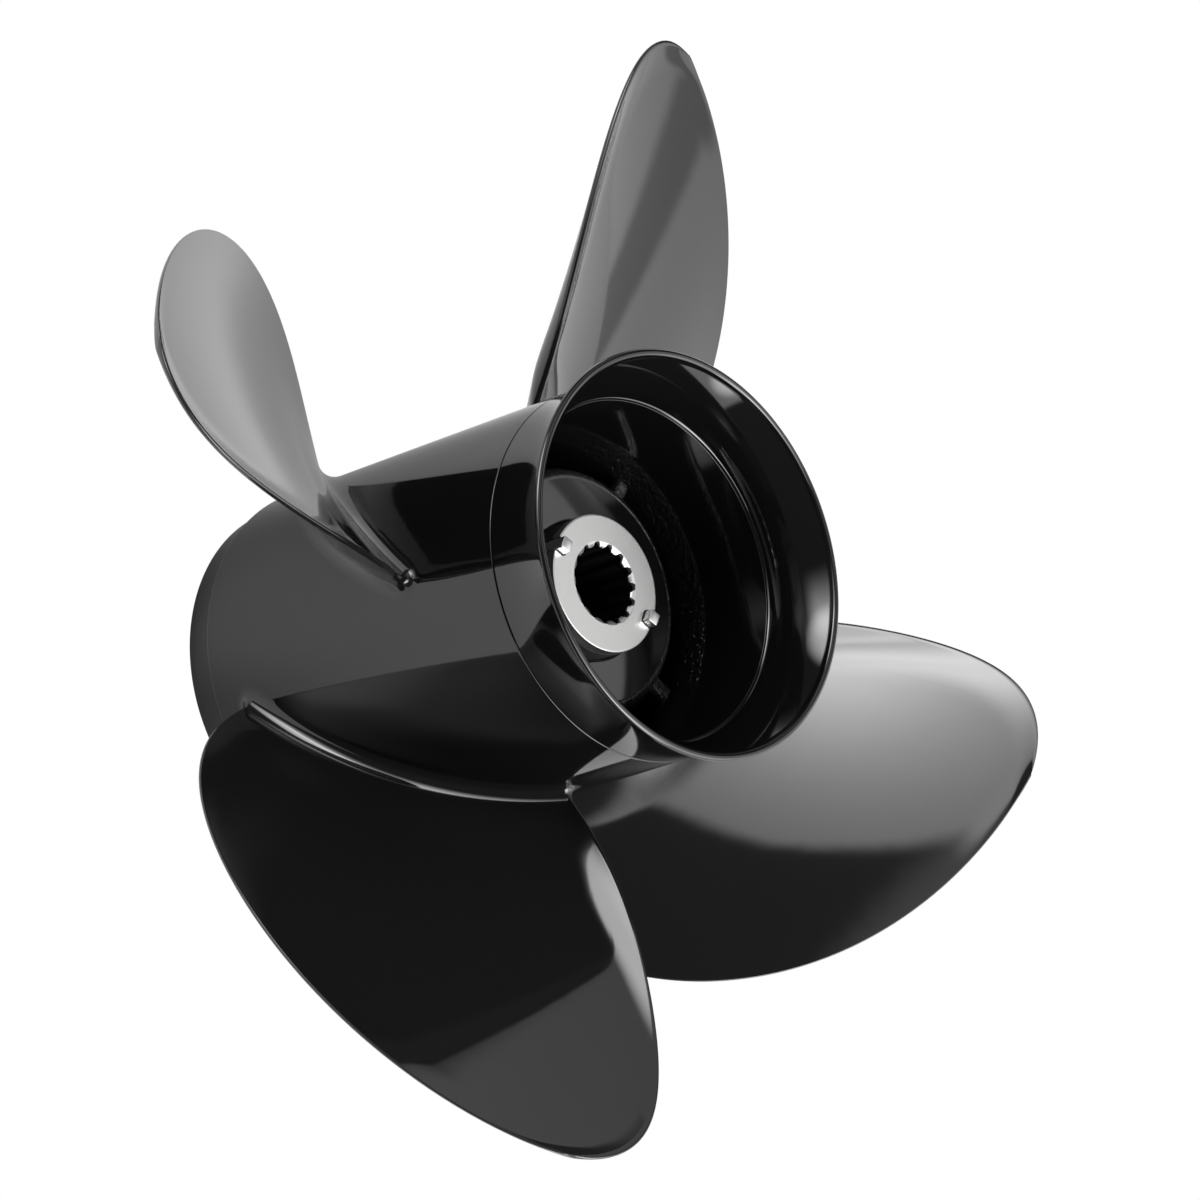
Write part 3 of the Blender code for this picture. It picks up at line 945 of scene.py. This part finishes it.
class BladeForm:
    """The blade's surface. along runs from -1 at the leading edge to 1 at the trailing edge."""

    def __init__(self, shape):
        self.tip = shape.tip_radius
        self.rise = shape.pitch / TURN
        self.fillet = shape.fillet_radius

    def share(self, radius):
        """Share of the span that lies inside a radius."""
        return min(1.0, max(0.0, (radius - ROOT_RADIUS) / (self.tip - ROOT_RADIUS)))

    def half_angle(self, radius):
        return ROOT_HALF_ANGLE * max(0.0, 1 - self.share(radius) ** OUTLINE_POWER) ** OUTLINE_ROUNDING

    def local_rise(self, radius):
        """Advance for each radian of turn, which is less at the root."""
        return self.rise * (1 - ROOT_PITCH_LOSS * (1 - self.share(radius)) ** PITCH_LOSS_POWER)

    def half_chord(self, radius):
        return self.half_angle(radius) * math.hypot(radius, self.local_rise(radius))

    def slant(self, radius):
        """How much longer a distance along the chord is than square to the outline, near an edge."""
        low = max(ROOT_RADIUS, radius - SLANT_STEP)
        high = min(self.tip - TIP_MARGIN, radius + SLANT_STEP)
        change = (self.half_chord(high) - self.half_chord(low)) / (high - low)
        return math.hypot(1.0, change)

    def thickness(self, radius, along):
        middle = ROOT_THICKNESS + (TIP_THICKNESS - ROOT_THICKNESS) * self.share(radius)
        edge = LEADING_EDGE + (TRAILING_EDGE - LEADING_EDGE) * (along + 1) / 2
        return edge + (middle - edge) * max(0.0, 1 - along * along) ** BACK_ROUNDING

    def curl(self, radius, along):
        """The trailing edge curls towards the driving face and the leading edge droops away from it."""
        chord = 2 * self.half_chord(radius)
        if chord == 0:
            return 0.0
        slant = self.slant(radius)
        from_trailing = (1 - along) / 2 * chord / slant
        from_leading = (1 + along) / 2 * chord / slant
        share = self.share(radius)
        width = CUP_WIDTH * (1 - CUP_NARROWING * share) * smooth((radius - ROOT_RADIUS) / CUP_ROOT_RUN)
        width = max(SMALLEST_WIDTH, width)
        slope = CUP_SLOPE * (1 - CUP_EASE * share)
        power = CUP_CURVE + 1
        near = min(from_trailing, width)
        depth = slope * (near - near**power / (power * width**CUP_CURVE))
        whole = slope * width * (1 - 1 / power)
        droop = NOSE_SLOPE * NOSE_WIDTH / 2 * max(0.0, 1 - from_leading / NOSE_WIDTH) ** 2
        return whole * (1 - along) / 2 - depth - droop * min(1.0, chord / NOSE_CHORD)

    def place(self, radius, forward, across):
        """Angle and height of a point. forward is the distance along the helix, across is square to it."""
        rise = self.local_rise(radius)
        share = self.share(radius)
        mid = ROOT_MID_ANGLE + SKEW_STEADY * share + SKEW_SWEPT * share**3
        turn = forward / math.hypot(radius, rise)
        slope = math.atan2(rise, radius)
        angle = mid + turn - across * math.sin(slope) / radius
        height = RAKE_START + RAKE_SLOPE * (radius - ROOT_RADIUS) + self.rise * mid + rise * turn
        height += across * math.cos(slope)
        return angle, height

    def edge_fullness(self, inset, depth, squareness):
        """Share of the edge's thickness that is reached at a distance from the outline."""
        away = 1 - min(1.0, max(0.0, inset / depth))
        return (1 - away**squareness) ** (1 / squareness)

    def edge_positions(self, half, slant, depth, squareness):
        """Insets from the end of the chord that follow the rounding of the edge."""
        reach = min(depth * slant, 0.5 * half)
        insets = []
        for i in range(EDGE_POINTS + 1):
            turn = math.pi / 2 * i / EDGE_POINTS
            insets.append(reach * (1 - math.cos(turn) ** (2 / squareness)))
        return insets

    def section(self, radius):
        """The closed section at a radius, as (forward, across) points: from the trailing edge over the
        driving face to the leading edge, and back along the other side."""
        half = self.half_chord(radius)
        slant = self.slant(radius)
        trailing = self.edge_positions(half, slant, *TRAILING_ROUNDING)
        leading = self.edge_positions(half, slant, *LEADING_ROUNDING)
        start = trailing[-1]
        end = leading[-1]
        inner = []
        for i in range(1, MIDDLE_POINTS):
            share = (1 - math.cos(math.pi * i / MIDDLE_POINTS)) / 2
            inner.append(half - start - (2 * half - start - end) * share)
        forwards = [half - inset for inset in trailing] + inner + [inset - half for inset in leading[::-1]]
        face = []
        back = []
        for forward in forwards:
            along = forward / half if half > 0 else 0.0
            fullness = self.edge_fullness((half - forward) / slant, *TRAILING_ROUNDING)
            fullness *= self.edge_fullness((half + forward) / slant, *LEADING_ROUNDING)
            thickness = self.thickness(radius, along)
            centre = self.curl(radius, along) - thickness / 2
            face.append((forward, centre + thickness / 2 * fullness))
            back.append((forward, centre - thickness / 2 * fullness))
        return face + back[-2:0:-1]

    def grown(self, points, growth):
        """The section pushed outwards all round, for the root's rounded corner."""
        if growth == 0:
            return points
        result = []
        for i, (x, y) in enumerate(points):
            before = points[i - 2]
            after = points[(i + 2) % len(points)]
            along = Vector((after[0] - before[0], after[1] - before[1])).normalized()
            result.append((x + along.y * growth, y - along.x * growth))
        return result

    def flattened(self, points):
        """The section with its two sides brought together, which closes the blade's foot."""
        count = len(points)
        opposite = [points[(count - i) % count] for i in range(count)]
        return [((x + far_x) / 2, (y + far_y) / 2) for (x, y), (far_x, far_y) in zip(points, opposite)]

    def ring_at(self, above, sunk=0.0, closed=False):
        """One ring of points of the blade at a distance above the barrel, or sunk into the barrel."""
        radius = min(self.tip, ROOT_RADIUS + above)
        points = self.grown(self.section(radius), fillet_growth(above, self.fillet))
        if closed:
            points = self.flattened(points)
        ring_points = []
        for forward, across in points:
            angle, height = self.place(radius, forward, across)
            root = body_radius(height)
            out = root + above * (self.tip - root) / (self.tip - ROOT_RADIUS) - sunk
            ring_points.append((out * math.cos(angle), out * math.sin(angle), height))
        return ring_points

    def stations(self):
        """Distances of the sections above the barrel: in the root's corner, over the span and at the tip."""
        span = self.tip - ROOT_RADIUS
        heights = []
        for i in range(FILLET_STATIONS):
            heights.append(self.fillet * (1 - math.cos(math.pi / 2 * i / FILLET_STATIONS)))
        body = span - TIP_INSETS[0] - self.fillet
        for i in range(BODY_STATIONS):
            share = i / BODY_STATIONS
            tapered = share * (1 - BODY_TAPER) + BODY_TAPER * (1 - (1 - share) ** 2)
            heights.append(self.fillet + body * tapered)
        return heights + [span - inset for inset in TIP_INSETS]

    def rings(self):
        buried = [self.ring_at(0.0, BURIED, closed=True), self.ring_at(0.0, BURIED)]
        return buried + [self.ring_at(above) for above in self.stations()]


class PROPELLER_OT_add_blades(bpy.types.Operator):
    """Adds the four blades, lofted through their sections from one model"""

    bl_idname = "propeller.add_blades"
    bl_label = "Add Blades"

    def execute(self, context):
        form = BladeForm(context.scene.propeller_shape)
        blade = lofted("painted_blade", form.rings(), smooth_angle=60)
        repeat_and_finish(blade, 0.0, shared(gloss_paint), "blade")
        return {"FINISHED"}


# The studio

CAMERA_PLACE = (-0.3383, -0.8768, 1.0052)
CAMERA_RIGHT = (0.5353, 0.4870, 0.6901)
CAMERA_AHEAD = (0.2654, 0.6787, -0.6848)
CAMERA_LENS = 131.17
SENSOR_WIDTH = 36.0
FLOOR_ROUGHNESS = 0.7
FLOOR_GLOSS = 0.2
WHITE = (1.0, 1.0, 1.0, 1.0)

# An aim is an azimuth and an elevation in degrees. A core, halo or glow is its sharpness and its strength.
# A lamp is its inner angle, its outer angle and its strength. A start or end is an azimuth and how softly
# it fades. An edge, foot or top is where a mask fades, as a part of a unit direction.
KEY_AIM = (-38.0, 47.0)
KEY_CORE = (26.0, 0.72)
KEY_HALO = (6.0, 0.28)
SCRIM_AIM = (5.0, 25.0)
SCRIM_GLOW = (20.0, 2.4)
SCRIM_EVEN = 1.5
SCRIM_LEFT_EDGE = (-0.055, -0.005)
SCRIM_SLOPE = 0.52
SCRIM_SLANTED_EDGE = (0.185, 0.235)
SCRIM_NEAR_EDGE = (-0.66, -0.61)
SCRIM_GAP_START = (37.3, 0.018)
SCRIM_GAP_END = (43.8, 0.018)
SCRIM_GAP_SHADE = 0.55
SCRIM_END = (56.0, 0.07)
SCRIM_END_TOP = (0.35, 0.50)
LOW_LAMP_AIM = (-27.0, 16.0)
LOW_LAMP = (2.0, 12.0, 7.0)
HIGH_LAMP_AIM = (-33.0, 31.0)
HIGH_LAMP = (2.0, 15.0, 4.0)
PANEL_START = (104.0, 0.03)
PANEL_END = (178.0, 0.05)
PANEL_TILT_AIM = (-20.6, 53.9)
PANEL_TILTED_EDGE = (-0.030, 0.005)
PANEL_LEVEL_START = (139.0, 0.04)
PANEL_LEVEL_EDGE = (0.34, 0.42)
STRIP_START = (-172.0, 0.16)
STRIP_END = (-158.0, 0.34)
STRIP_FOOT = (0.06, 0.26)
STRIP_TOP = (0.62, 0.76)
SIDE_LIGHT_AIM = (-178.0, 21.0)
SIDE_LIGHT_ANGLES = (2.0, 19.0)
OVERHEAD_EDGE = (0.955, 0.975)
OVERHEAD = 0.9


def add_camera():
    data = bpy.data.cameras.new("studio_camera")
    data.sensor_fit = "HORIZONTAL"
    data.sensor_width = SENSOR_WIDTH
    data.lens = CAMERA_LENS
    data.clip_start = 0.01
    data.clip_end = 100.0
    camera = bpy.data.objects.new("studio_camera", data)
    right = Vector(CAMERA_RIGHT).normalized()
    back = -Vector(CAMERA_AHEAD).normalized()
    up = back.cross(right).normalized()
    turn = Matrix((right, up, back)).transposed().to_4x4()
    camera.matrix_world = Matrix.Translation(CAMERA_PLACE) @ turn
    bpy.context.scene.collection.objects.link(camera)
    bpy.context.scene.camera = camera


def seen_directly(graph):
    """1 for what the camera sees of the backdrop itself, 0 for what lights and reflects in the propeller."""
    return graph.add("ShaderNodeLightPath", {}, {}, "Is Camera Ray")


def floor_finish(settings):
    """Pale floor that takes the studio's light and shows as the plain backdrop."""
    graph = Graph(bpy.data.materials.new("studio_floor"))
    graph.feed("Base Color", (settings.floor_shade,) * 3 + (1.0,))
    graph.feed("Roughness", FLOOR_ROUGHNESS)
    graph.feed("Specular IOR Level", FLOOR_GLOSS)
    plain = graph.add("ShaderNodeEmission", {}, {"Strength": settings.backdrop}, "Emission")
    surface = Wire(graph, graph.shader.outputs["BSDF"])
    shown = graph.add("ShaderNodeMixShader", {}, [seen_directly(graph), surface, plain], "Shader")
    graph.tree.links.new(shown.socket, graph.tree.nodes["Material Output"].inputs["Surface"])
    return graph.owner


def add_floor(settings):
    deselect_all()
    bpy.ops.mesh.primitive_plane_add(size=settings.floor_size, location=(0, 0, 0))
    floor = bpy.context.active_object
    floor.name = "studio_floor"
    floor.data.materials.append(floor_finish(settings))


def scrim_light(graph, direction, settings):
    """The white scrim in front, with the key light and two lamps behind it and a gap between its cloths."""
    x, y, height = graph.parts_of(direction)
    key = graph.glow(direction, KEY_AIM, *KEY_CORE) + graph.glow(direction, KEY_AIM, *KEY_HALO)
    light = key * settings.key_light + graph.glow(direction, SCRIM_AIM, *SCRIM_GLOW) + SCRIM_EVEN
    light += graph.soft_light(direction, LOW_LAMP_AIM, *LOW_LAMP)
    light += graph.soft_light(direction, HIGH_LAMP_AIM, *HIGH_LAMP)
    slanted = (x - y.at_most(0.0) * SCRIM_SLOPE).ramp(*SCRIM_SLANTED_EDGE)
    cloth = x.ramp(*SCRIM_LEFT_EDGE) * slanted * y.ramp(*SCRIM_NEAR_EDGE)
    gap = graph.past(direction, *SCRIM_GAP_START) * (1 - graph.past(direction, *SCRIM_GAP_END))
    shaded = 1 - gap * SCRIM_GAP_SHADE
    ended = 1 - graph.past(direction, *SCRIM_END) * (1 - height.ramp(*SCRIM_END_TOP))
    return light * cloth * shaded * ended


def panel_light(graph, direction, height, settings):
    """The white panel at the back, with a tilted lower edge that runs out level at the left."""
    panel = graph.past(direction, *PANEL_START) * (1 - graph.past(direction, *PANEL_END))
    tilted = graph.near(direction, *PANEL_TILT_AIM).ramp(*PANEL_TILTED_EDGE)
    level = graph.past(direction, *PANEL_LEVEL_START) * height.ramp(*PANEL_LEVEL_EDGE)
    return panel * tilted.at_least(level) * settings.back_panel


def side_lights(graph, direction, height, settings):
    """A tall strip and a round soft light at the left."""
    strip = graph.past(direction, *STRIP_START) * (1 - graph.past(direction, *STRIP_END))
    strip = strip * height.ramp(*STRIP_FOOT) * (1 - height.ramp(*STRIP_TOP)) * settings.side_light
    return strip + graph.soft_light(direction, SIDE_LIGHT_AIM, *SIDE_LIGHT_ANGLES, settings.side_light)


def add_world(settings):
    """Lights the propeller from the sky: scrim, panel, side lights, an overhead light and a dark room."""
    world = bpy.data.worlds.new("studio_light")
    graph = Graph(world, "Background")
    direction = graph.add("ShaderNodeTexCoord", {}, {}, "Generated")
    height = graph.parts_of(direction)[2]
    light = scrim_light(graph, direction, settings) + panel_light(graph, direction, height, settings)
    light += side_lights(graph, direction, height, settings)
    light += height.ramp(*OVERHEAD_EDGE) * OVERHEAD + settings.room
    shown = seen_directly(graph)
    graph.feed("Strength", light * (1 - shown) + shown * settings.backdrop)
    graph.feed("Color", WHITE)
    bpy.context.scene.world = world


class PROPELLER_OT_add_studio(bpy.types.Operator):
    """Adds the floor, the soft lights and the camera"""

    bl_idname = "propeller.add_studio"
    bl_label = "Add Studio"

    def execute(self, context):
        settings = context.scene.propeller_studio
        add_floor(settings)
        add_world(settings)
        add_camera()
        context.scene.view_settings.view_transform = "Standard"
        return {"FINISHED"}


class PROPELLER_PT_panel(bpy.types.Panel):
    """Buttons that add the propeller's pieces"""

    bl_label = "Outboard Propeller"
    bl_idname = "PROPELLER_PT_panel"
    bl_space_type = "VIEW_3D"
    bl_region_type = "UI"
    bl_category = "Propeller"

    def draw(self, context):
        layout = self.layout
        scene = context.scene
        for group in (scene.propeller_shape, scene.propeller_finish, scene.propeller_studio):
            box = layout.box()
            for name in group.__annotations__:
                box.prop(group, name)
        for operator in OPERATORS:
            layout.operator(operator.bl_idname)


GROUPS = (PropellerShape, PropellerFinish, StudioSettings)
OPERATORS = (
    PROPELLER_OT_add_barrel,
    PROPELLER_OT_add_flared_ring,
    PROPELLER_OT_add_inner_hub,
    PROPELLER_OT_add_hub_kit,
    PROPELLER_OT_add_blades,
    PROPELLER_OT_add_studio,
)


def register():
    for cls in (*GROUPS, *OPERATORS, PROPELLER_PT_panel):
        bpy.utils.register_class(cls)
    bpy.types.Scene.propeller_shape = bpy.props.PointerProperty(type=PropellerShape)
    bpy.types.Scene.propeller_finish = bpy.props.PointerProperty(type=PropellerFinish)
    bpy.types.Scene.propeller_studio = bpy.props.PointerProperty(type=StudioSettings)


def unregister():
    del bpy.types.Scene.propeller_shape
    del bpy.types.Scene.propeller_finish
    del bpy.types.Scene.propeller_studio
    for cls in reversed((*GROUPS, *OPERATORS, PROPELLER_PT_panel)):
        bpy.utils.unregister_class(cls)


def main():
    register()
    bpy.ops.propeller.add_barrel()
    bpy.ops.propeller.add_flared_ring()
    bpy.ops.propeller.add_inner_hub()
    bpy.ops.propeller.add_hub_kit()
    bpy.ops.propeller.add_blades()
    bpy.ops.propeller.add_studio()


if __name__ == "__main__":
    main()
